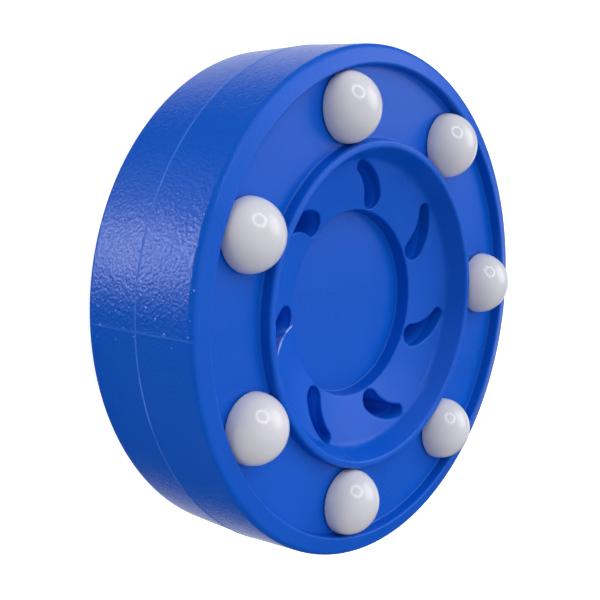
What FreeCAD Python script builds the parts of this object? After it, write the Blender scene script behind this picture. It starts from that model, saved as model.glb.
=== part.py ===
import FreeCAD, Part
import math
import os

import Sketcher

# A roller hockey puck: one moulded body, open through seven curved vents,
# and seven nylon runners that pass through it. Each runner is two halves,
# a pin and a socket, pressed together inside the body, so that a domed
# head stands on each face. The puck lies flat: +Z is its axis, and the
# origin is under its middle, at the level of the heads it rests on.

SHEET = "sizes"
UP = FreeCAD.Vector(0, 0, 1)

SIZES = {
    # Body
    "puck_diameter": 76.2,
    "body_height": 21.8,
    "side_draft": 0.4,
    "lip_fall": 0.7,
    "edge_radius": 1.0,
    "corner_radius": 0.3,
    # Channel that the runner heads stand in, inside the lip
    "lip_width": 3.2,
    "channel_depth": 1.8,
    "channel_draft": 0.2,
    # Ring between the channel and the recess
    "ring_width": 1.1,
    "ring_draft": 0.1,
    "ring_rise": 0.1,
    "crest_radius": 0.45,
    # Recess with the vents in its floor, a shallow cone that falls inwards
    "recess_draft": 1.6,
    "recess_depth": 3.2,
    "cove_radius": 1.0,
    "floor_fall": 1.9,
    # Round panel in the middle of the recess
    "floor_width": 7.6,
    "panel_draft": 0.2,
    "panel_depth": 2.2,
    # Vents: the gaps from their round ends to the panel and to the recess wall
    "vent_inner_gap": 0.4,
    "vent_inner_angle": -26.0,
    "vent_inner_end": 1.75,
    "vent_outer_gap": 0.1,
    "vent_outer_angle": -11.5,
    "vent_outer_end": 0.9,
    "vent_convex_radius": 8.0,
    "vent_concave_radius": 6.4,
    # Runners
    "runner_count": 7,
    "head_radius": 5.0,
    "head_clearance": 0.1,
    "head_rim": 0.5,
    "head_skirt": 0.6,
    "head_dome": 4.7,
    "shank_radius": 3.2,
    "shank_clearance": 0.05,
    "shank_gap": 0.3,
    "pin_radius": 2.0,
    "pin_fit": 0.0,
    "pin_length": 13.5,
    "pin_end_gap": 1.2,
    "tip_chamfer": 0.5,
}

CELLS = {alias: f"{SHEET}.{alias}" for alias in SIZES}

# Heights above the mid-plane, and radii, that the sections share
LIP_TOP = "{body_height} / 2"
LIP_EDGE = "({body_height} / 2 - {lip_fall})"
CHANNEL_FLOOR = "({body_height} / 2 - {channel_depth})"
RING_CREST = "({body_height} / 2 + {ring_rise})"
RECESS_FOOT = "({body_height} / 2 - {recess_depth})"
PANEL_MOUTH = f"({RECESS_FOOT} - {{floor_fall}})"
PANEL_FLOOR = f"({PANEL_MOUTH} - {{panel_depth}})"
HEAD_SHOULDER = f"({CHANNEL_FLOOR} + {{head_skirt}})"
HEAD_TOP = f"({HEAD_SHOULDER} + {{head_dome}})"
SOCKET_MOUTH = f"({CHANNEL_FLOOR} - {{shank_gap}})"
PIN_TIP = f"({CHANNEL_FLOOR} - {{pin_length}})"
SOCKET_END = f"({PIN_TIP} - {{pin_end_gap}})"

SIDE_RADIUS = "({puck_diameter} / 2)"
EDGE_RADIUS = "({puck_diameter} / 2 - {side_draft})"
LIP_INNER_RADIUS = "({puck_diameter} / 2 - {lip_width})"
CHANNEL_RADIUS = f"({LIP_INNER_RADIUS} - {{channel_draft}})"
RUNNER_PITCH = f"({CHANNEL_RADIUS} - {{head_clearance}} - {{head_radius}})"
RING_FOOT_RADIUS = f"({RUNNER_PITCH} - {{head_radius}} - {{head_clearance}})"
CREST_OUTER_RADIUS = f"({RING_FOOT_RADIUS} - {{ring_draft}})"
RECESS_RADIUS = f"({CREST_OUTER_RADIUS} - {{ring_width}})"
RECESS_FOOT_RADIUS = f"({RECESS_RADIUS} - {{recess_draft}})"
PANEL_RADIUS = f"({RECESS_FOOT_RADIUS} - {{floor_width}})"
PANEL_FOOT_RADIUS = f"({PANEL_RADIUS} - {{panel_draft}})"
VENT_PITCH = {
    "inner": f"({PANEL_RADIUS} + {{vent_inner_gap}} + {{vent_inner_end}})",
    "outer": f"({RECESS_FOOT_RADIUS} - {{vent_outer_gap}} - {{vent_outer_end}})",
}
BORE_RADIUS = "({shank_radius} + {shank_clearance})"
SOCKET_RADIUS = "({pin_radius} + {pin_fit})"
RUNNER_STEP = "360 deg / {runner_count}"


def bound(text):
    """An expression with each {alias} turned into its cell."""
    return text.format(**CELLS)


def number(doc, text):
    """The plain number that an expression gives."""
    value = doc.getObject(SHEET).evalExpression(bound(text))
    return float(getattr(value, "Value", value))


def make_sheet(doc):
    """Write every driving size to its own named cell."""
    sheet = doc.addObject("Spreadsheet::Sheet", SHEET)
    for row, (alias, size) in enumerate(SIZES.items(), start=1):
        sheet.set(f"A{row}", alias)
        sheet.set(f"B{row}", str(size))
        sheet.setAlias(f"B{row}", alias)
    doc.recompute()


# Bodies and sketches

def new_body(doc, label):
    """An empty body at the height of the puck's mid-plane."""
    body = doc.addObject("PartDesign::Body", label)
    body.Label = label
    body.setExpression("Placement.Base.z", bound(HEAD_TOP))
    return body


def origin_feature(body, role):
    """One of the body's own origin planes or axes."""
    return next(part for part in body.Origin.OriginFeatures if part.Role == role)


def new_sketch(body, name, plane):
    """A sketch on one of the body's own origin planes."""
    sketch = body.newObject("Sketcher::SketchObject", name)
    sketch.AttachmentSupport = [(origin_feature(body, plane), "")]
    sketch.MapMode = "FlatFace"
    return sketch


def bind(sketch, kind, *where, size):
    """Add one dimension whose value is an expression."""
    value = number(sketch.Document, size)
    index = sketch.addConstraint(Sketcher.Constraint(kind, *where, value))
    sketch.setExpression(f"Constraints[{index}]", bound(size))


def place_point(sketch, geometry, point, across, along):
    """Tie a point to its two distances from the origin; None puts it on the axis."""
    for kind, size, axis in (("DistanceX", across, -2), ("DistanceY", along, -1)):
        if size is None:
            on_axis = Sketcher.Constraint("PointOnObject", geometry, point, axis)
            sketch.addConstraint(on_axis)
        else:
            bind(sketch, kind, -1, 1, geometry, point, size=size)


def arc(centre, radius, start, end):
    """The arc that runs anticlockwise about its centre from start to end."""
    circle = Part.Circle(FreeCAD.Vector(*centre, 0), UP, radius)
    first = math.atan2(start[1] - centre[1], start[0] - centre[0])
    last = math.atan2(end[1] - centre[1], end[0] - centre[0])
    return Part.ArcOfCircle(circle, first, last)


def cap_arc(start, end):
    """The arc between two points, one of them on the axis, that crosses it square."""
    apex, rim = sorted((start, end))
    rise = apex[1] - rim[1]
    radius = (rim[0] ** 2 + rise ** 2) / (2 * abs(rise))
    centre = (0.0, apex[1] - math.copysign(radius, rise))
    return arc(centre, radius, start, end)


def draw_section(sketch, corners, cap=None):
    """Close a half section through its corners; the side numbered cap is an arc."""
    doc = sketch.Document
    points = [tuple(number(doc, size or "0") for size in corner) for corner in corners]
    for side, start in enumerate(points):
        end = points[(side + 1) % len(points)]
        if side == cap:
            sketch.addGeometry(cap_arc(start, end))
        else:
            ends = [FreeCAD.Vector(*point, 0) for point in (start, end)]
            sketch.addGeometry(Part.LineSegment(*ends))
    for side, corner in enumerate(corners):
        following = (side + 1) % len(corners)
        meeting = Sketcher.Constraint("Coincident", side, 2, following, 1)
        sketch.addConstraint(meeting)
        place_point(sketch, side, 1, *corner)
    if cap is not None:
        sketch.addConstraint(Sketcher.Constraint("PointOnObject", cap, 3, -2))


def revolve(body, sketch):
    """Turn a half section all the way round the body's axis."""
    turned = body.newObject("PartDesign::Revolution", "turned_" + body.Label)
    turned.Profile = sketch
    turned.ReferenceAxis = (sketch, ["V_Axis"])
    turned.Angle = 360
    body.Document.recompute()
    return turned


# The puck body

def section_of_upper_half(body):
    """Half section of the body above its mid-plane."""
    sketch = new_sketch(body, "body_section", "XZ_Plane")
    draw_section(sketch, [
        (None, None),
        (SIDE_RADIUS, None),
        (EDGE_RADIUS, LIP_EDGE),
        (LIP_INNER_RADIUS, LIP_TOP),
        (CHANNEL_RADIUS, CHANNEL_FLOOR),
        (RING_FOOT_RADIUS, CHANNEL_FLOOR),
        (CREST_OUTER_RADIUS, RING_CREST),
        (RECESS_RADIUS, RING_CREST),
        (RECESS_FOOT_RADIUS, RECESS_FOOT),
        (PANEL_RADIUS, PANEL_MOUTH),
        (PANEL_FOOT_RADIUS, PANEL_FLOOR),
        (None, PANEL_FLOOR),
    ])
    return sketch


def mirror_to_lower_half(body, upper):
    """Repeat the upper half below the mid-plane."""
    mirrored = body.newObject("PartDesign::Mirrored", "lower_half")
    mirrored.Originals = [upper]
    mirrored.MirrorPlane = (origin_feature(body, "XY_Plane"), [""])
    body.Tip = mirrored
    body.Document.recompute()
    return mirrored


def round_edge_names(shape, radius, height):
    """The full circles of that radius, as far above the mid-plane as below it."""
    names = []
    for index, edge in enumerate(shape.Edges, start=1):
        if not isinstance(edge.Curve, Part.Circle):
            continue
        level = abs(edge.Curve.Center.z)
        if math.isclose(edge.Curve.Radius, radius, abs_tol=1e-5):
            if math.isclose(level, height, abs_tol=1e-5):
                names.append(f"Edge{index}")
    return names


def round_corners(body, base, name, radius, corners):
    """Round the circular edges that stand at the given corners of the section."""
    doc = body.Document
    edges = []
    for across, along in corners:
        found = round_edge_names(base.Shape, number(doc, across), number(doc, along))
        if len(found) != 2:
            raise RuntimeError(f"{name}: {len(found)} edges at {across}, {along}")
        edges.extend(found)
    fillet = body.newObject("PartDesign::Fillet", name)
    fillet.Base = (base, edges)
    fillet.setExpression("Radius", bound(radius))
    body.Tip = fillet
    doc.recompute()
    return fillet


def round_body(body, base):
    """Round the edges that a stick or a hand meets, and the moulded corners."""
    base = round_corners(body, base, "outer_edges", "{edge_radius}", [
        (EDGE_RADIUS, LIP_EDGE),
    ])
    base = round_corners(body, base, "recess_coves", "{cove_radius}", [
        (RECESS_FOOT_RADIUS, RECESS_FOOT),
    ])
    base = round_corners(body, base, "ring_crests", "{crest_radius}", [
        (CREST_OUTER_RADIUS, RING_CREST),
        (RECESS_RADIUS, RING_CREST),
    ])
    return round_corners(body, base, "small_corners", "{corner_radius}", [
        (LIP_INNER_RADIUS, LIP_TOP),
        (CHANNEL_RADIUS, CHANNEL_FLOOR),
        (RING_FOOT_RADIUS, CHANNEL_FLOOR),
        (PANEL_RADIUS, PANEL_MOUTH),
        (PANEL_FOOT_RADIUS, PANEL_FLOOR),
    ])


def cut_through_and_repeat(body, sketch, name):
    """Cut a sketch right through the body, once at each runner's step."""
    doc = body.Document
    before = body.Tip.Shape.Volume
    pocket = body.newObject("PartDesign::Pocket", name)
    pocket.Profile = sketch
    pocket.Type = "ThroughAll"
    pocket.SideType = "Symmetric"
    body.Tip = pocket
    doc.recompute()
    one_cut = before - pocket.Shape.Volume
    pattern = body.newObject("PartDesign::PolarPattern", name + "_pattern")
    pattern.Originals = [pocket]
    pattern.Axis = (origin_feature(body, "Z_Axis"), [""])
    pattern.Angle = 360
    pattern.setExpression("Occurrences", bound("{runner_count}"))
    body.Tip = pattern
    doc.recompute()
    all_cuts = before - pattern.Shape.Volume
    if one_cut <= 0 or not math.isclose(all_cuts, one_cut * pattern.Occurrences, rel_tol=1e-3):
        raise RuntimeError(f"{name}: one cut {one_cut:.2f}, all {all_cuts:.2f} cubic mm")


def crossing(first, first_reach, second, second_reach):
    """Where circles about two centres cross, on the left of first to second."""
    across, along = second[0] - first[0], second[1] - first[1]
    apart = math.hypot(across, along)
    forward = (apart ** 2 + first_reach ** 2 - second_reach ** 2) / (2 * apart)
    aside = math.sqrt(first_reach ** 2 - forward ** 2)
    unit = (across / apart, along / apart)
    return (first[0] + forward * unit[0] - aside * unit[1],
            first[1] + forward * unit[1] + aside * unit[0])


def toward(start, end, reach):
    """The point at that reach from start on the line to end."""
    share = reach / math.dist(start, end)
    return tuple(a + share * (b - a) for a, b in zip(start, end))


def vent_outline(body):
    """Closed outline of one vent: two round ends joined by two curved sides."""
    sketch = new_sketch(body, "vent_outline", "XY_Plane")
    doc = sketch.Document
    centres = []
    for end in ("inner", "outer"):
        angle = f"{{vent_{end}_angle}} * 1 deg"
        centres.append([f"{VENT_PITCH[end]} * {turn}({angle})" for turn in ("cos", "sin")])
    inner, outer = ([number(doc, size) for size in centre] for centre in centres)
    inner_end, outer_end, convex, concave = (
        number(doc, size) for size in
        ("{vent_inner_end}", "{vent_outer_end}", "{vent_convex_radius}", "{vent_concave_radius}"))

    convex_centre = crossing(inner, convex - inner_end, outer, convex - outer_end)
    concave_centre = crossing(inner, concave + inner_end, outer, concave + outer_end)
    inner_convex = toward(inner, convex_centre, -inner_end)
    outer_convex = toward(outer, convex_centre, -outer_end)
    inner_concave = toward(inner, concave_centre, inner_end)
    outer_concave = toward(outer, concave_centre, outer_end)

    inner_arc = sketch.addGeometry(arc(inner, inner_end, inner_concave, inner_convex))
    convex_arc = sketch.addGeometry(arc(convex_centre, convex, inner_convex, outer_convex))
    outer_arc = sketch.addGeometry(arc(outer, outer_end, outer_convex, outer_concave))
    concave_arc = sketch.addGeometry(arc(concave_centre, concave, inner_concave, outer_concave))
    for joint in ((inner_arc, 2, convex_arc, 1), (convex_arc, 2, outer_arc, 1),
                  (outer_arc, 2, concave_arc, 2), (concave_arc, 1, inner_arc, 1)):
        sketch.addConstraint(Sketcher.Constraint("Tangent", *joint))
    place_point(sketch, inner_arc, 3, *centres[0])
    place_point(sketch, outer_arc, 3, *centres[1])
    bind(sketch, "Radius", inner_arc, size="{vent_inner_end}")
    bind(sketch, "Radius", outer_arc, size="{vent_outer_end}")
    bind(sketch, "Radius", convex_arc, size="{vent_convex_radius}")
    bind(sketch, "Radius", concave_arc, size="{vent_concave_radius}")
    return sketch


def bore_outline(body):
    """Circle of the bore that one runner's shank passes through."""
    sketch = new_sketch(body, "bore_outline", "XY_Plane")
    pitch = number(sketch.Document, RUNNER_PITCH)
    radius = number(sketch.Document, BORE_RADIUS)
    circle = Part.Circle(FreeCAD.Vector(pitch, 0, 0), UP, radius)
    sketch.addGeometry(circle)
    place_point(sketch, 0, 3, RUNNER_PITCH, None)
    bind(sketch, "Radius", 0, size=BORE_RADIUS)
    return sketch


def make_puck_body(doc):
    """The moulded body, with its vents and its seven bores."""
    body = new_body(doc, "puck_body")
    upper = revolve(body, section_of_upper_half(body))
    whole = mirror_to_lower_half(body, upper)
    round_body(body, whole)
    cut_through_and_repeat(body, vent_outline(body), "vents")
    cut_through_and_repeat(body, bore_outline(body), "runner_bores")
    return body


# The runners

def pin_section(body):
    """Upper half of a runner: a domed head on a plain pin."""
    sketch = new_sketch(body, "pin_section", "XZ_Plane")
    draw_section(sketch, [
        (None, PIN_TIP),
        ("{pin_radius} - {tip_chamfer}", PIN_TIP),
        ("{pin_radius}", f"{PIN_TIP} + {{tip_chamfer}}"),
        ("{pin_radius}", CHANNEL_FLOOR),
        ("{head_radius} - {head_rim}", CHANNEL_FLOOR),
        ("{head_radius}", f"{CHANNEL_FLOOR} + {{head_rim}}"),
        ("{head_radius}", HEAD_SHOULDER),
        (None, HEAD_TOP),
    ], cap=6)
    return sketch


def socket_section(body):
    """Lower half of a runner: a domed head on a tube that takes the pin."""
    sketch = new_sketch(body, "socket_section", "XZ_Plane")
    draw_section(sketch, [
        (None, f"-{HEAD_TOP}"),
        ("{head_radius}", f"-{HEAD_SHOULDER}"),
        ("{head_radius}", f"-({CHANNEL_FLOOR} + {{head_rim}})"),
        ("{head_radius} - {head_rim}", f"-{CHANNEL_FLOOR}"),
        ("{shank_radius}", f"-{CHANNEL_FLOOR}"),
        ("{shank_radius}", SOCKET_MOUTH),
        (f"{SOCKET_RADIUS} + {{tip_chamfer}}", SOCKET_MOUTH),
        (SOCKET_RADIUS, f"{SOCKET_MOUTH} - {{tip_chamfer}}"),
        (SOCKET_RADIUS, SOCKET_END),
        (None, SOCKET_END),
    ], cap=0)
    return sketch


def make_runner_half(doc, label, section, place):
    """One half of a runner, in its place on the pitch circle."""
    body = new_body(doc, label)
    revolve(body, section(body))
    for axis, turn in (("x", "cos"), ("y", "sin")):
        distance = f"{RUNNER_PITCH} * {turn}({place} * {RUNNER_STEP})"
        body.setExpression(f"Placement.Base.{axis}", bound(distance) + " * 1 mm")
    return body


def make_runners(doc):
    """Both halves of every runner."""
    halves = []
    for place in range(SIZES["runner_count"]):
        halves.append(make_runner_half(doc, f"runner_pin_{place + 1}", pin_section, place))
        halves.append(make_runner_half(doc, f"runner_socket_{place + 1}", socket_section, place))
    return halves


# Checks and files

def check(doc, bodies):
    """Stop if a feature failed or a piece isn't one valid solid."""
    for feature in doc.Objects:
        if "Invalid" in feature.State or "Error" in feature.State:
            raise RuntimeError(f"{feature.Label} failed: {feature.State}")
    for body in bodies:
        shape = body.Shape
        if shape.isNull() or not shape.isValid() or len(shape.Solids) != 1:
            raise RuntimeError(f"{body.Label} isn't one valid solid")


def export(bodies):
    """Write each piece to the file that its label names."""
    os.makedirs("parts", exist_ok=True)
    for body in bodies:
        body.Shape.exportStep(f"parts/{body.Label}.step")


document = FreeCAD.newDocument("hockey_puck")
make_sheet(document)
pieces = [make_puck_body(document)] + make_runners(document)
document.recompute()
check(document, pieces)
export(pieces)
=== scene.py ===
import math

import bmesh
import bpy
import numpy as np
from mathutils import Matrix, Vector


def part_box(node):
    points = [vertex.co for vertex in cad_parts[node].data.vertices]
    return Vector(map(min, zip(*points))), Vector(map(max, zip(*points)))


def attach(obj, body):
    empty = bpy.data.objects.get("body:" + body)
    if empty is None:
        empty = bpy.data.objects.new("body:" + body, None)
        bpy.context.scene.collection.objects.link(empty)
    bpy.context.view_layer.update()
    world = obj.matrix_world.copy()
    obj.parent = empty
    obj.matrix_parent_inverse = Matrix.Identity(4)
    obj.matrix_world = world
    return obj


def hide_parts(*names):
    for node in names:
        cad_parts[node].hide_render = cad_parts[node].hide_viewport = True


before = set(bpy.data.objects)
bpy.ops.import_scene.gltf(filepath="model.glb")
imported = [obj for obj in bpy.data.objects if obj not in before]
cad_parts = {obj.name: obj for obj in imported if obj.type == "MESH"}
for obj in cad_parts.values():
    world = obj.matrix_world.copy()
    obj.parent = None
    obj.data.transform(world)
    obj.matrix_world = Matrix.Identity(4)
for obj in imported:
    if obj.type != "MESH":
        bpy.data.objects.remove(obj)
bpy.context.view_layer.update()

# ---------------------------------------------------------------------------
# Moulded body
# The blue disc is one injection moulding, the same above and below its
# mid-height: a lip, a channel for the runner heads, a raised ring, a recess
# with seven curved vents and a sunk round panel.
# ---------------------------------------------------------------------------
mm = 0.001
body_low, body_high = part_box("puck_body")
outer_radius = (body_high.x - body_low.x) / 2
middle = (body_high.z + body_low.z) / 2
crest_height = (body_high.z - body_low.z) / 2
runner_count = 7
sector = 2 * math.pi / runner_count

ring_rise = 0.1 * mm
lip_height = crest_height - ring_rise
lip_fall = 0.7 * mm
side_draft = 0.4 * mm
lip_width = 3.2 * mm
channel_draft = 0.2 * mm
channel_height = lip_height - 1.8 * mm
head_low, head_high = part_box("runner_pin_1")
head_radius = (head_high.y - head_low.y) / 2
runner_pitch = (head_high.x + head_low.x) / 2
head_clearance = 0.1 * mm
ring_foot = runner_pitch - head_radius - head_clearance
ring_draft = 0.1 * mm
ring_width = 1.1 * mm
recess_radius = ring_foot - ring_draft - ring_width
recess_draft = 1.6 * mm
recess_height = lip_height - 3.2 * mm
wall_foot = recess_radius - recess_draft
panel_radius = wall_foot - 7.6 * mm
panel_draft = 0.2 * mm
mouth_height = recess_height - 1.9 * mm
panel_height = mouth_height - 2.2 * mm
lip_inner = outer_radius - lip_width
channel_outer = lip_inner - channel_draft

edge_rounding = 1.0 * mm            # the lip's outer edge
ring_rounding = 0.45 * mm
foot_rounding = 1.0 * mm            # the foot of the recess wall
corner_rounding = 0.3 * mm          # every other corner

witness_height = 0.05 * mm          # the ridge that the mould's two halves leave
witness_half_width = 0.16 * mm

outer_columns = 48                  # columns in one runner's sector
inner_columns = 24                  # and in one sector of the panel
arc_rows, floor_arc_rows = 6, 12    # rows in a rounded corner
row_inset = 0.06 * mm               # from a corner to the first row beside it
row_step, panel_row_step = 1.1 * mm, 1.3 * mm


def rounded(corners, arc_rows):
    """A line through corners, each (radius, height, rounding). A corner with a
    rounding becomes the arc tangent to both of its sides, which starts at the
    rounding times the tangent of half the turn from the corner."""
    points = []
    for place, (across, up, rounding) in enumerate(corners):
        corner = np.array([across, up])
        if rounding == 0:
            points.append(corner[None])
            continue
        before = np.array(corners[place - 1][:2]) - corner
        after = np.array(corners[place + 1][:2]) - corner
        before, after = before / np.linalg.norm(before), after / np.linalg.norm(after)
        half = math.acos(np.clip(before @ after, -1, 1)) / 2
        turn = math.pi - 2 * half
        bisector = (before + after) / np.linalg.norm(before + after)
        centre = corner + bisector * rounding / math.sin(half)
        swing = np.linspace(-turn / 2, turn / 2, arc_rows)[:, None]
        aside = (after - before) / np.linalg.norm(after - before)
        points.append(centre - bisector * rounding * np.cos(swing)
                      + aside * rounding * np.sin(swing))
    return np.concatenate(points)


def support(points, inset, longest):
    """The same line with rows set in from both ends of each long run, and the
    rest of the run divided evenly into steps no longer than longest."""
    rows = [points[:1]]
    for start, end in zip(points[:-1], points[1:]):
        length = np.linalg.norm(end - start)
        if length < 5 * inset:
            shares = np.array([1.0])
        else:
            steps = max(2, math.ceil(length / longest) + 1)
            shares = np.append(np.linspace(inset / length, 1 - inset / length, steps), 1.0)
        rows.append(start + shares[:, None] * (end - start))
    return np.concatenate(rows)


def grid_faces(rows, columns, start):
    """Quads of a grid whose points run along the columns first. Each quad joins
    a point to the next column's, and the last column's to the first's."""
    across = np.arange(columns)
    beside = (across + 1) % columns
    first = start + np.arange(rows - 1)[:, None] * columns
    return np.stack([first + across, first + beside, first + columns + beside,
                     first + columns + across], -1).reshape(-1, 4)


def turned(profile, angles):
    """Each (radius, height) of the profile turned to every angle: along by the
    radius times the cosine, across by the radius times the sine."""
    radius, height = profile[:, 0, None], profile[:, 1, None]
    return np.stack([radius * np.cos(angles), radius * np.sin(angles),
                     np.broadcast_to(height, (len(profile), len(angles)))], -1)


surfaces = []


def add_surface(points, downwards=False):
    """Keep a grid of points above the mid-plane and its reflection below it."""
    for side in (1, -1):
        surfaces.append((points * [1, 1, side], (side < 0) != downwards))


column_angle = sector / outer_columns
column_angles = (np.arange(runner_count * outer_columns) - outer_columns / 2) * column_angle

# From the mid-height round the edge and over the lip to the channel's floor.
# It starts on the witness ridge, drawn as shares of its height and half width.
channel_margin = 0.55 * mm
witness_ridge = [(outer_radius - fall * witness_height, reach * witness_half_width, 0)
                 for fall, reach in ((0, 0), (0.15, 0.35), (0.85, 0.75), (1, 1))]
side_run = rounded(witness_ridge + [
    (outer_radius - side_draft, lip_height - lip_fall, edge_rounding),
    (lip_inner, lip_height, corner_rounding),
    (channel_outer, channel_height, corner_rounding),
    (channel_outer - channel_margin, channel_height, 0),
], arc_rows)
side_profile = support(side_run, row_inset, row_step)

# From the channel's floor over the ring and down the recess wall
wall_split = wall_foot + 0.9 * mm
wall_split_height = recess_height + (wall_split - wall_foot) / recess_draft * (
    crest_height - recess_height)
ring_run = rounded([
    (ring_foot + channel_margin, channel_height, 0),
    (ring_foot, channel_height, corner_rounding),
    (ring_foot - ring_draft, crest_height, ring_rounding),
    (recess_radius, crest_height, ring_rounding),
    (wall_split, wall_split_height, 0),
], arc_rows)
ring_profile = support(ring_run, row_inset, row_step)

# From the wall's foot across the vented floor and down into the panel
floor_run = rounded([
    (wall_split, wall_split_height, 0),
    (wall_foot, recess_height, foot_rounding),
    (panel_radius, mouth_height, corner_rounding),
    (panel_radius - panel_draft, panel_height, corner_rounding),
    (0, panel_height, 0),
], floor_arc_rows)


def floor_level(points):
    """Height of the vented floor at any place: the floor's line at that radius."""
    radius = np.hypot(points[..., 0], points[..., 1])
    return np.interp(radius, floor_run[::-1][:, 0], floor_run[::-1][:, 1])


# The vented floor has columns at every other column of the ring, so the panel's
# are the same ones and their seam closes
floor_first_column = -19
panel_split = panel_radius + 0.09 * mm
panel_start = np.array([[panel_split, floor_level(np.array([panel_split, 0]))]])
panel_run = np.concatenate([panel_start, floor_run[floor_run[:, 0] < panel_split]])
panel_profile = support(panel_run, row_inset, panel_row_step)
panel_columns = np.arange(runner_count * inner_columns) * 2 + 1
panel_angles = (panel_columns - outer_columns / 2) * column_angle

# A second, fainter witness line runs down the side wall. The columns are drawn
# together about it, less and less over the lip, and the wall is raised on it.
axial_angle = 71 * column_angle
axial_height = 0.035 * mm
axial_pull, axial_pull_reach = 0.85, 3 * column_angle
wall_blend = 0.2 * side_draft       # where the line fades out over the edge
side_share = np.clip((side_profile[:, 0] - lip_inner) / lip_width, 0, 1)[:, None] ** 2
from_line = column_angles - axial_angle
pull = -axial_pull * from_line * np.exp(-(from_line / axial_pull_reach) ** 2)
on_wall = np.clip((side_profile[:, 0, None] - outer_radius + side_draft) / wall_blend, 0, 1)
raised = axial_height * on_wall * np.isclose(from_line, 0)
side_radius = np.minimum(side_profile[:, 0, None] + raised, outer_radius)
side_angles = column_angles + side_share * pull
side_wall = np.stack([side_radius * np.cos(side_angles), side_radius * np.sin(side_angles),
                      np.broadcast_to(side_profile[:, 1, None], side_angles.shape)], -1)
add_surface(side_wall)
add_surface(turned(ring_profile, column_angles))
add_surface(turned(panel_profile, panel_angles))


def sector_loop(first_column, inner_radius, outer_edge, inner_step, side_steps):
    """The closed outline of one sector of a ring: out along one side, along the
    outer arc, in along the other side and back along the inner arc."""
    low = (first_column - outer_columns / 2) * column_angle
    out = np.linspace(inner_radius, outer_edge, side_steps + 1)[:-1]
    around = low + np.arange(outer_columns) * column_angle
    back = low + sector - np.arange(0, outer_columns, inner_step) * column_angle
    radius = np.concatenate([out, np.full(len(around), outer_edge),
                             inner_radius + outer_edge - out, np.full(len(back), inner_radius)])
    angle = np.concatenate([np.full(len(out), low), around, np.full(len(out), low + sector), back])
    return np.stack([radius * np.cos(angle), radius * np.sin(angle)], -1)


def between(start, end, shares):
    """Points that go straight from each start to its end: the start plus a
    share of the step to the end."""
    return start + shares[:, None, None] * (end - start)


def at_height(points, height):
    """Flat points given a height, one for all or one for each."""
    return np.concatenate([points, np.broadcast_to(height, points.shape[:-1])[..., None]], -1)


def turn_by(points, angle):
    """Points turned about the puck's axis: along by x cos - y sin, across by
    x sin + y cos."""
    cos, sin = math.cos(angle), math.sin(angle)
    return points @ np.array([[cos, sin, 0], [-sin, cos, 0], [0, 0, 1]])


# The channel's floor, one sector round each runner's bore
bore_radius = 3.25 * mm
channel_side_steps, bore_rows = 14, 6
channel_loop = sector_loop(0, ring_foot + channel_margin, channel_outer - channel_margin,
                           1, channel_side_steps)
runner_place = np.array([runner_pitch, 0])
toward_bore = channel_loop - runner_place
bore_loop = runner_place + bore_radius * toward_bore / np.linalg.norm(toward_bore, axis=1)[:, None]
channel_floor = at_height(between(bore_loop, channel_loop, np.linspace(0, 1, bore_rows)),
                          channel_height)
bore_wall = np.stack([at_height(bore_loop, channel_height), at_height(bore_loop, 0.0)])


# The vents: a round inner end, a round outer end, and two curved sides
inner_end, outer_end = 1.75 * mm, 0.9 * mm
inner_pitch = panel_radius + 0.4 * mm + inner_end
outer_pitch = wall_foot - 0.1 * mm - outer_end
inner_angle, outer_angle = math.radians(-26.0), math.radians(-11.5)
convex_radius, concave_radius = 8.0 * mm, 6.4 * mm
vent_mouth = 0.28 * mm              # rounding of the vent's mouth


def crossing(first, first_reach, second, second_reach):
    """Where circles about two centres cross, on the left of first to second.
    Forward is (apart squared + first reach squared - second reach squared) over
    twice apart, and aside is what is left of the first reach."""
    apart = np.linalg.norm(second - first)
    unit = (second - first) / apart
    forward = (apart ** 2 + first_reach ** 2 - second_reach ** 2) / (2 * apart)
    aside = math.sqrt(first_reach ** 2 - forward ** 2)
    return first + forward * unit + aside * np.array([-unit[1], unit[0]])


def heading(start, end):
    """Direction from start to end, as an angle."""
    return math.atan2(end[1] - start[1], end[0] - start[0])


inner_centre = inner_pitch * np.array([math.cos(inner_angle), math.sin(inner_angle)])
outer_centre = outer_pitch * np.array([math.cos(outer_angle), math.sin(outer_angle)])
convex_centre = crossing(inner_centre, convex_radius - inner_end,
                         outer_centre, convex_radius - outer_end)
concave_centre = crossing(inner_centre, concave_radius + inner_end,
                          outer_centre, concave_radius + outer_end)


def vent_outline(counts):
    """The vent's outline anticlockwise from the point of its inner end that is
    nearest the axis: half that end, the convex side, both halves of the outer
    end, the concave side and the other half. Each point is its arc's centre
    plus the radius at its angle, and its normal points out of the hole."""
    convex_from = heading(convex_centre, inner_centre)
    convex_to = heading(convex_centre, outer_centre)
    concave_from = heading(concave_centre, outer_centre)
    concave_to = heading(concave_centre, inner_centre)
    nearest, furthest = inner_angle + math.pi, outer_angle
    arcs = [
        (inner_centre, inner_end, nearest, convex_from, 1),
        (convex_centre, convex_radius, convex_from, convex_to, 1),
        (outer_centre, outer_end, convex_to, furthest, 1),
        (outer_centre, outer_end, furthest, concave_from + math.pi, 1),
        (concave_centre, concave_radius, concave_from, concave_to, -1),
        (inner_centre, inner_end, concave_to + math.pi, nearest, 1),
    ]
    points, normals = [], []
    for (centre, radius, start, end, sense), count in zip(arcs, counts):
        sweep = sense * ((end - start) * sense % (2 * math.pi))
        angle = start + sweep * np.arange(count) / count
        outward = np.stack([np.cos(angle), np.sin(angle)], -1)
        points.append(centre + radius * outward)
        normals.append(sense * outward)
    return np.concatenate(points), np.concatenate(normals)


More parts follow.
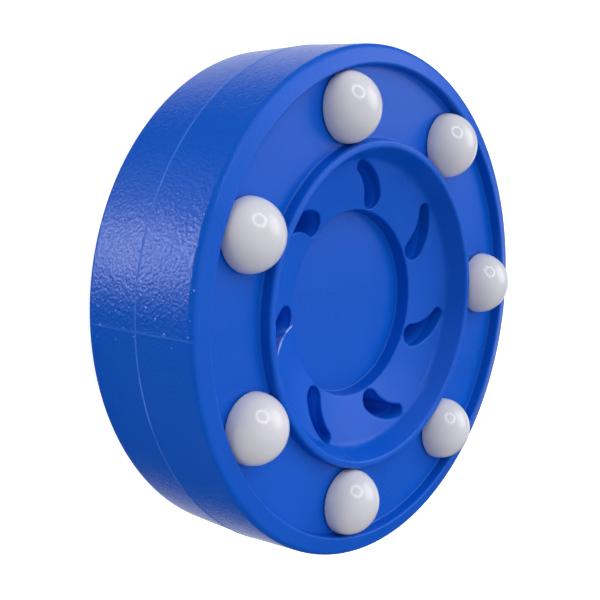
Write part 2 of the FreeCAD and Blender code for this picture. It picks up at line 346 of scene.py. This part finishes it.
# One sector of the vented floor, its rows closer together near the vent. The
# loop is turned so that its points start beside the vent's first.
floor_side_steps, floor_rows, mouth_rows = 20, 15, 6
floor_crowding = 1.15
arc_points = (11, 45, 5, 10, 36, 5)
beside_vent_tip = 15
floor_loop = sector_loop(floor_first_column, panel_split, wall_split, 2, floor_side_steps)
floor_loop = np.roll(floor_loop, inner_columns - beside_vent_tip, axis=0)
outline, outline_normals = vent_outline(arc_points)
mouth_outline = outline + vent_mouth * outline_normals
floor_points = between(mouth_outline, floor_loop, np.linspace(0, 1, floor_rows) ** floor_crowding)
vent_floor = at_height(floor_points, floor_level(floor_points))

mouth_turn = np.linspace(0, math.pi / 2, mouth_rows)
mouth_flat = outline + vent_mouth * (1 - np.sin(mouth_turn))[:, None, None] * outline_normals
mouth_drop = vent_mouth * (1 - np.cos(mouth_turn))[:, None]
vent_rim = at_height(mouth_flat, floor_level(mouth_flat) - mouth_drop)
vent_wall = np.concatenate([vent_rim, at_height(outline[None], 0.0)])

for number in range(runner_count):
    add_surface(turn_by(channel_floor, number * sector))
    add_surface(turn_by(bore_wall, number * sector), downwards=True)
    add_surface(turn_by(vent_floor, number * sector))
    add_surface(turn_by(vent_wall, number * sector), downwards=True)


def joined_mesh(name, grids, height):
    """One closed mesh of all the grids, raised by height. Points nearer than
    the merging distance become one, which closes the seams and the poles."""
    points, faces, start = [], [], 0
    for grid, flipped in grids:
        rows, columns = grid.shape[:2]
        quads = grid_faces(rows, columns, start)
        faces.append(quads[:, ::-1] if flipped else quads)
        points.append(grid.reshape(-1, 3) + [0, 0, height])
        start += rows * columns
    mesh = bpy.data.meshes.new(name)
    mesh.from_pydata(np.concatenate(points).tolist(), [], np.concatenate(faces).tolist())
    shape = bmesh.new()
    shape.from_mesh(mesh)
    bmesh.ops.remove_doubles(shape, verts=shape.verts, dist=0.0005 * mm)
    bmesh.ops.recalc_face_normals(shape, faces=shape.faces)
    for face in shape.faces:
        face.smooth = True
    shape.to_mesh(mesh)
    shape.free()
    return mesh


def new_piece(name, mesh, material):
    """An object with its place in its mesh, on the puck's one body."""
    piece = bpy.data.objects.new(name, mesh)
    bpy.context.scene.collection.objects.link(piece)
    mesh.materials.append(material)
    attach(piece, "root")
    return piece


def node_tree(material):
    """The material's nodes, wires and Principled shader."""
    material.use_nodes = True
    tree = material.node_tree
    return tree.nodes, tree.links, tree.nodes["Principled BSDF"]


def new_group(name, inputs, outputs):
    """An empty shader group; each input is (name, kind, value)."""
    group = bpy.data.node_groups.new(name, "ShaderNodeTree")
    for label, kind, value in inputs:
        socket = group.interface.new_socket(label, in_out="INPUT", socket_type="NodeSocket" + kind)
        if value is not None:
            socket.default_value = value
    for label, kind in outputs:
        group.interface.new_socket(label, in_out="OUTPUT", socket_type="NodeSocket" + kind)
    return group, group.nodes.new("NodeGroupInput"), group.nodes.new("NodeGroupOutput")


def add_node(nodes, kind, values=(), **settings):
    """A node with its settings, and its unlinked inputs given by name."""
    node = nodes.new("ShaderNode" + kind)
    for key, value in settings.items():
        setattr(node, key, value)
    for key, value in dict(values).items():
        node.inputs[key].default_value = value
    return node


def ramp(nodes, links, source, low, high, start, end):
    """A value that goes from start to end while the source goes from low to high."""
    node = add_node(nodes, "MapRange", {"From Min": low, "From Max": high,
                                        "To Min": start, "To Max": end})
    links.new(source, node.inputs["Value"])
    return node.outputs["Result"]


def combine(nodes, links, operation, first, second):
    """A maths node of two inputs, each a socket or a number."""
    node = add_node(nodes, "Math", operation=operation)
    for place, value in enumerate((first, second)):
        if isinstance(value, (int, float)):
            node.inputs[place].default_value = value
        else:
            links.new(value, node.inputs[place])
    return node.outputs[0]


def product(nodes, links, first, *others):
    """All the sockets and numbers multiplied together."""
    for other in others:
        first = combine(nodes, links, "MULTIPLY", first, other)
    return first


def colour_mix(nodes, links, factor, first, second):
    """A colour that goes from first to second; each is a socket or a colour."""
    node = add_node(nodes, "Mix", data_type="RGBA")
    links.new(factor, node.inputs["Factor"])
    for place, value in ((6, first), (7, second)):
        if isinstance(value, tuple):
            node.inputs[place].default_value = value
        else:
            links.new(value, node.inputs[place])
    return node.outputs[2]


# Moulding grain: the texture that spark erosion leaves in the mould's steel
fine_height, pit_height = 0.6, 0.5
pit_scale = 0.7                     # of the fine noise's scale
cloud_scale = 90.0
speck_edge, speck_core = 0.12, 0.05
grain, inside, outside = new_group(
    "moulding_grain",
    [("Vector", "Vector", None), ("Scale", "Float", 2000.0), ("Speck Scale", "Float", 500.0)],
    [("Height", "Float"), ("Mottle", "Float"), ("Speck", "Float")])
nodes, links = grain.nodes, grain.links
fine = add_node(nodes, "TexNoise", {"Detail": 2.0, "Roughness": 0.5})
pits = add_node(nodes, "TexVoronoi", feature="SMOOTH_F1")
cloud = add_node(nodes, "TexNoise", {"Scale": cloud_scale, "Detail": 4.0, "Roughness": 0.55})
specks = add_node(nodes, "TexVoronoi", {"Randomness": 1.0})
for texture in (fine, pits, cloud, specks):
    links.new(inside.outputs["Vector"], texture.inputs["Vector"])
links.new(inside.outputs["Scale"], fine.inputs["Scale"])
links.new(product(nodes, links, inside.outputs["Scale"], pit_scale), pits.inputs["Scale"])
links.new(inside.outputs["Speck Scale"], specks.inputs["Scale"])
links.new(combine(nodes, links, "ADD", product(nodes, links, fine.outputs["Fac"], fine_height),
                  product(nodes, links, pits.outputs["Distance"], pit_height)),
          outside.inputs["Height"])
links.new(cloud.outputs["Fac"], outside.inputs["Mottle"])
links.new(ramp(nodes, links, specks.outputs["Distance"], speck_edge, speck_core, 0.0, 1.0),
          outside.inputs["Speck"])

# The blue: dyed plastic, grained on the side wall and satin on the faces
light_blue, deep_blue = (0.0005, 0.088, 0.565, 1), (0.0002, 0.077, 0.475, 1)
pale_mark_blue = (0.45, 0.60, 0.90, 1)
# the painted highlight colour along the witness lines
line_highlight_blue = (0.12, 0.30, 0.80, 1)
# painted light inside the vents
vent_painted_light_blue = (0.001, 0.13, 0.72, 1)
grain_scale, grain_speck_scale = 3000.0, 800.0
side_from, side_full = outer_radius - 0.9 * mm, outer_radius - 0.5 * mm

blue = bpy.data.materials.new("blue moulding")
nodes, links, plastic = node_tree(blue)
position = add_node(nodes, "TexCoord").outputs["Object"]
axes = add_node(nodes, "SeparateXYZ")
links.new(position, axes.inputs[0])
flat_place = add_node(nodes, "CombineXYZ")
links.new(axes.outputs["X"], flat_place.inputs["X"])
links.new(axes.outputs["Y"], flat_place.inputs["Y"])
distance = add_node(nodes, "VectorMath", operation="LENGTH")
links.new(flat_place.outputs[0], distance.inputs[0])
radius = distance.outputs["Value"]
side_mask = ramp(nodes, links, radius, side_from, side_full, 0.0, 1.0)
face_mask = ramp(nodes, links, radius, side_from, side_full, 1.0, 0.0)

texture = add_node(nodes, "Group", node_tree=grain)
links.new(position, texture.inputs["Vector"])
texture.inputs["Scale"].default_value = grain_scale
texture.inputs["Speck Scale"].default_value = grain_speck_scale
mottle = texture.outputs["Mottle"]

# the faces are a little lighter than the wall, in soft clouds
face_clouds = product(nodes, links, ramp(nodes, links, mottle, 0.2, 0.8, 0.0, 1.0), face_mask)
tint = colour_mix(nodes, links, face_clouds, deep_blue, light_blue)
outwards = add_node(nodes, "VectorMath", operation="NORMALIZE")
links.new(flat_place.outputs[0], outwards.inputs[0])


def near_azimuth(azimuth, full, none):
    """A mask about one azimuth, in degrees: full within one angle, none past the other."""
    along = add_node(nodes, "VectorMath", operation="DOT_PRODUCT")
    links.new(outwards.outputs[0], along.inputs[0])
    along.inputs[1].default_value = (math.cos(math.radians(azimuth)),
                                     math.sin(math.radians(azimuth)), 0)
    return ramp(nodes, links, along.outputs["Value"], math.cos(math.radians(none)),
                math.cos(math.radians(full)), 0.0, 1.0)


def away_from(source, value):
    """How far a socket's value is from a number, either way."""
    step = combine(nodes, links, "SUBTRACT", source, value)
    return combine(nodes, links, "ABSOLUTE", step, 0)


# a torn bit of moulding flash on the concave edge of one vent's upper mouth
flash_vent, flash_azimuth = 2, 85.5
flash_centre = turn_by(np.append(concave_centre, 0), flash_vent * sector)
flash_strength = 0.6
flash_inset = 0.12 * mm             # from the concave side to the flash's middle
flash_core, flash_reach = 0.06 * mm, 0.14 * mm
flash_low, flash_high = 18 * mm, 19 * mm
to_arc = add_node(nodes, "VectorMath", operation="DISTANCE")
links.new(flat_place.outputs[0], to_arc.inputs[0])
to_arc.inputs[1].default_value = tuple(flash_centre)
off_edge = away_from(to_arc.outputs["Value"], concave_radius - flash_inset)
on_edge = ramp(nodes, links, off_edge, flash_core, flash_reach, flash_strength, 0.0)
torn = add_node(nodes, "TexNoise", {"Scale": 900.0, "Detail": 3.0})
links.new(position, torn.inputs["Vector"])
ragged = ramp(nodes, links, torn.outputs["Fac"], 0.40, 0.55, 0.0, 1.0)
at_mouth = ramp(nodes, links, axes.outputs["Z"], flash_low, flash_high, 0.0, 1.0)
flash = product(nodes, links, on_edge, near_azimuth(flash_azimuth, 3, 6), ragged, at_mouth)

# pale specks in one patch of the side wall
speck_azimuth = 71
speck_strength = 0.75
speck_patch = product(nodes, links, near_azimuth(speck_azimuth, 3, 9), side_mask)
pale_specks = product(nodes, links, texture.outputs["Speck"], speck_patch, speck_strength)
flash_and_specks = colour_mix(nodes, links, combine(nodes, links, "MAXIMUM", flash, pale_specks),
                  tint, pale_mark_blue)

# the two witness lines are polished by the mould; their shine is a painted highlight, lighter in
# broken stretches
axial_highlight_strength = 0.45
level_core, level_reach = 0.06 * mm, 0.20 * mm
axial_core, axial_reach = 0.05 * mm, 0.17 * mm
off_middle = away_from(axes.outputs["Z"], middle)
level_highlight = ramp(nodes, links, off_middle, level_core, level_reach, 1.0, 0.0)
across_line = add_node(nodes, "VectorMath", operation="DOT_PRODUCT")
links.new(flat_place.outputs[0], across_line.inputs[0])
across_line.inputs[1].default_value = (-math.sin(axial_angle), math.cos(axial_angle), 0)
off_line = away_from(across_line.outputs["Value"], 0)
axial_highlight = product(nodes, links, near_azimuth(math.degrees(axial_angle), 2, 4),
                     ramp(nodes, links, off_line, axial_core, axial_reach, axial_highlight_strength, 0.0))
line_highlights = combine(nodes, links, "MAXIMUM", level_highlight, axial_highlight)
highlight_breaks = ramp(nodes, links, mottle, 0.35, 0.62, 0.1, 0.55)
# painted highlight: the witness lines painted lighter on the side wall
highlighted = colour_mix(nodes, links, product(nodes, links, line_highlights, side_mask, highlight_breaks), flash_and_specks, line_highlight_blue)

# painted light: the vents' walls are painted lighter, standing in for the light that soaks through
# the plastic
vent_roughness, side_polish = 0.4, 0.06
vent_band_full, vent_band_none = 5.2 * mm, 5.6 * mm         # up or down from the mid-height
in_vent = product(nodes, links,
                  ramp(nodes, links, off_middle, vent_band_full, vent_band_none, 1.0, 0.0),
                  combine(nodes, links, "GREATER_THAN", radius, panel_radius),
                  combine(nodes, links, "LESS_THAN", radius, wall_foot))
links.new(colour_mix(nodes, links, in_vent, highlighted, vent_painted_light_blue), plastic.inputs["Base Color"])
satin = ramp(nodes, links, mottle, 0.3, 0.7, 0.26, 0.33)
change = combine(nodes, links, "SUBTRACT", product(nodes, links, in_vent, vent_roughness),
                 product(nodes, links, side_mask, side_polish))
links.new(combine(nodes, links, "ADD", satin, change), plastic.inputs["Roughness"])

# the grain is deepest on the side wall, less on the lip and ring, faint inside
side_grain, ring_grain, face_grain, lip_grain = 0.55, 0.3, 0.15, 0.45
grain_depth = 0.10 * mm
lip_blend = 0.4 * mm
on_ring = product(nodes, links, ring_grain,
                  combine(nodes, links, "GREATER_THAN", radius, recess_radius),
                  combine(nodes, links, "LESS_THAN", radius, ring_foot))
over_lip = ramp(nodes, links, radius, lip_inner, lip_inner + lip_blend, face_grain, lip_grain)
bump = add_node(nodes, "Bump", {"Distance": grain_depth})
links.new(texture.outputs["Height"], bump.inputs["Height"])
links.new(combine(nodes, links, "ADD", product(nodes, links, side_mask, side_grain),
                  combine(nodes, links, "ADD", over_lip, on_ring)),
          bump.inputs["Strength"])
links.new(bump.outputs["Normal"], plastic.inputs["Normal"])

plastic.inputs["Specular IOR Level"].default_value = 0.2

moulded_body = new_piece("moulded_body", joined_mesh("moulded_body", surfaces, middle), blue)
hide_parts("puck_body")

# ---------------------------------------------------------------------------
# Runners
# Each of the seven runners is two smooth nylon mouldings, pressed together
# through a bore: a pin half above and a socket half below, each with a
# domed head that stands on the channel's floor.
# ---------------------------------------------------------------------------
head_skirt = 0.6 * mm
head_dome = head_high.z - middle - channel_height - head_skirt
head_rounding = 0.42 * mm
pin_radius = 2.0 * mm
shank_radius = 3.2 * mm
pin_tip = channel_height - 13.5 * mm
socket_mouth = channel_height - 0.3 * mm
socket_end = pin_tip - 1.2 * mm
tip_chamfer = 0.5 * mm
dome_rows, head_columns = 26, 96
head_row_inset, head_row_step = 0.08 * mm, 3 * mm

dome_turn = np.linspace(math.pi / 2, 0, dome_rows)
dome = np.stack([head_radius * np.cos(dome_turn),
                 channel_height + head_skirt + head_dome * np.sin(dome_turn)], -1)


def head_above(shank, shank_line):
    """A half's line from the top of its dome: down the dome and its skirt,
    under the head to the shank's radius, then along the shank's own line."""
    skirt = rounded([
        (head_radius, channel_height + head_skirt, 0),
        (head_radius, channel_height, head_rounding),
        (shank, channel_height, 0),
    ], arc_rows)[1:]
    return support(np.concatenate([dome, skirt, np.array(shank_line)]),
                   head_row_inset, head_row_step)


pin_profile = head_above(pin_radius, [
    (pin_radius, pin_tip + tip_chamfer), (pin_radius - tip_chamfer, pin_tip), (0, pin_tip)])
socket_profile = head_above(shank_radius, [
    (shank_radius, -socket_mouth), (pin_radius + tip_chamfer, -socket_mouth),
    (pin_radius, -socket_mouth + tip_chamfer), (pin_radius, -socket_end), (0, -socket_end)])
head_angles = np.arange(head_columns) * 2 * math.pi / head_columns

# Nylon: milky white with a soft cloud in it, and nearly smooth
nylon = bpy.data.materials.new("white nylon")
nodes, links, milky = node_tree(nylon)
position = add_node(nodes, "TexCoord").outputs["Object"]
cloud = add_node(nodes, "TexNoise", {"Scale": 260.0, "Detail": 3.0})
ripple = add_node(nodes, "TexNoise", {"Scale": 420.0, "Detail": 2.0})
for pattern in (cloud, ripple):
    links.new(position, pattern.inputs["Vector"])
cool_white, warm_white = (0.53, 0.535, 0.60, 1), (0.64, 0.63, 0.68, 1)
links.new(colour_mix(nodes, links, cloud.outputs["Fac"], cool_white, warm_white),
          milky.inputs["Base Color"])
links.new(ramp(nodes, links, cloud.outputs["Fac"], 0.3, 0.7, 0.12, 0.18),
          milky.inputs["Roughness"])
bump = add_node(nodes, "Bump", {"Strength": 0.12, "Distance": 0.05 * mm})
links.new(ripple.outputs["Fac"], bump.inputs["Height"])
links.new(bump.outputs["Normal"], milky.inputs["Normal"])

for number in range(1, runner_count + 1):
    turn = (number - 1) * sector
    centre = runner_pitch * np.array([math.cos(turn), math.sin(turn), 0])
    for half, profile, side in (("pin", pin_profile, 1), ("socket", socket_profile, -1)):
        name = f"runner_{half}_half_{number}"
        shape = turned(profile, head_angles) * [1, 1, side] + centre
        runner = new_piece(name, joined_mesh(name, [(shape, side < 0)], middle), nylon)
        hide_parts(f"runner_{half}_{number}")

# ---------------------------------------------------------------------------
# Studio
# The puck lies on a plain pale sheet that is lit from behind, inside a white
# light tent. The camera looks down at it and is rolled on its side.
# ---------------------------------------------------------------------------
sheet_dark, sheet_light = (0.60, 0.60, 0.60, 1), (0.63, 0.63, 0.63, 1)
sheet_glow, sheet_glow_seen = 0.52, 0.85     # for the puck, and for the camera
paper = bpy.data.materials.new("white paper")
nodes, links, sheet = node_tree(paper)
fibre = add_node(nodes, "TexNoise", {"Scale": 300.0, "Detail": 4.0})
links.new(colour_mix(nodes, links, fibre.outputs["Fac"], sheet_dark, sheet_light),
          sheet.inputs["Base Color"])
sheet.inputs["Roughness"].default_value = 0.9
sheet.inputs["Emission Color"].default_value = (1, 1, 1, 1)
floor_ray = add_node(nodes, "LightPath")
links.new(ramp(nodes, links, floor_ray.outputs["Is Camera Ray"], 0, 1,
               sheet_glow, sheet_glow_seen),
          sheet.inputs["Emission Strength"])

floor_mesh = bpy.data.meshes.new("floor")
floor_reach = 1.5
corners = [(floor_reach * x, floor_reach * y, 0) for x, y in ((-1, -1), (1, -1), (1, 1), (-1, 1))]
floor_mesh.from_pydata(corners, [], [(0, 1, 2, 3)])
floor_mesh.materials.append(paper)
floor = bpy.data.objects.new("floor", floor_mesh)
bpy.context.scene.collection.objects.link(floor)
floor.visible_glossy = False

camera_azimuth = math.radians(60.99)     # from +X, towards +Y
camera_elevation = math.radians(40.08)
camera_roll = math.radians(100.04)
camera_distance = 159.53 * mm
camera_target = np.array([-6.57, 5.47, 12.5]) * mm
back = np.array([math.cos(camera_elevation) * math.cos(camera_azimuth),
                 math.cos(camera_elevation) * math.sin(camera_azimuth),
                 math.sin(camera_elevation)])
level = np.cross([0, 0, 1], back)
level /= np.linalg.norm(level)
upright = np.cross(back, level)
right = level * math.cos(camera_roll) + upright * math.sin(camera_roll)
up = upright * math.cos(camera_roll) - level * math.sin(camera_roll)


def facing(position, right, up, back):
    """The matrix that stands an object at a place, looking along minus back."""
    rows = [[right[row], up[row], back[row], position[row]] for row in range(3)]
    return Matrix(rows + [[0, 0, 0, 1]])


camera_data = bpy.data.cameras.new("camera")
camera_data.sensor_width = 36
camera_data.lens = 61.6
camera_data.shift_y = 1 / 12
camera_data.clip_start = 0.01
camera = bpy.data.objects.new("camera", camera_data)
camera.matrix_world = facing(camera_target + camera_distance * back, right, up, back)
bpy.context.scene.collection.objects.link(camera)
bpy.context.scene.camera = camera


def compass(azimuth, elevation):
    """The direction at an azimuth from +X and a height above level, in degrees:
    the cosine of the height along the azimuth, and its sine upwards."""
    turn, rise = math.radians(azimuth), math.radians(elevation)
    return (math.cos(rise) * math.cos(turn), math.cos(rise) * math.sin(turn), math.sin(rise))


# The tent round the puck: even white light, and brighter panels in it that
# show as soft bands in the glossy surfaces
world = bpy.data.worlds.new("light tent")
bpy.context.scene.world = world
world.use_nodes = True
nodes, links = world.node_tree.nodes, world.node_tree.links
towards = add_node(nodes, "TexCoord").outputs["Generated"]


def panel_glow(direction, full, none, strength):
    """Light from one panel: full within one angle of its middle, none past the other."""
    facing_it = add_node(nodes, "VectorMath", operation="DOT_PRODUCT")
    links.new(towards, facing_it.inputs[0])
    facing_it.inputs[1].default_value = direction
    glow = add_node(nodes, "MapRange", {"From Min": math.cos(math.radians(none)),
                                        "From Max": math.cos(math.radians(full)),
                                        "To Min": 0.0, "To Max": strength},
                    interpolation_type="SMOOTHSTEP")
    links.new(facing_it.outputs["Value"], glow.inputs["Value"])
    return glow.outputs["Result"]


# Each panel: azimuth, elevation, angle to its full part, angle to its edge, strength.
# The last two are a ring lamp, a round panel less its middle.
tent_panels = [
    (-80, 39, 4, 28, 2.7),
    (55, -48, 3, 13, 15.0),
    (30, -48, 4, 18, 1.3),
    (-80, -45, 8, 36, 1.0),
    (-140, -45, 6, 24, 0.9),
    (-113, -8, 4, 20, 0.9),
    (-16.5, 47, 18, 22, 7.0),
    (-16.5, 47, 13, 17, -7.0),
]
dim_tent, even_tent = 0.02, 0.36             # what reflections see, and the rest
reflected = dim_tent
for azimuth, elevation, full, none, strength in tent_panels:
    reflected = combine(nodes, links, "ADD", reflected,
                        panel_glow(compass(azimuth, elevation), full, none, strength))

# The key light comes from the camera's upper right
key_reach, key_strength = 105, 1.35
key = 0.55 * up + 0.85 * right + 0.25 * back
key /= np.linalg.norm(key)
even = combine(nodes, links, "ADD", even_tent,
               panel_glow(tuple(key), 0, key_reach, key_strength))
ray = add_node(nodes, "LightPath")
brightness = add_node(nodes, "Mix")
links.new(ray.outputs["Is Glossy Ray"], brightness.inputs["Factor"])
links.new(even, brightness.inputs[2])
links.new(reflected, brightness.inputs[3])
links.new(brightness.outputs[0], nodes["Background"].inputs["Strength"])
nodes["Background"].inputs["Color"].default_value = (1, 1, 1, 1)
world.cycles.sampling_method = "NONE"
bpy.context.scene.view_settings.view_transform = "Standard"
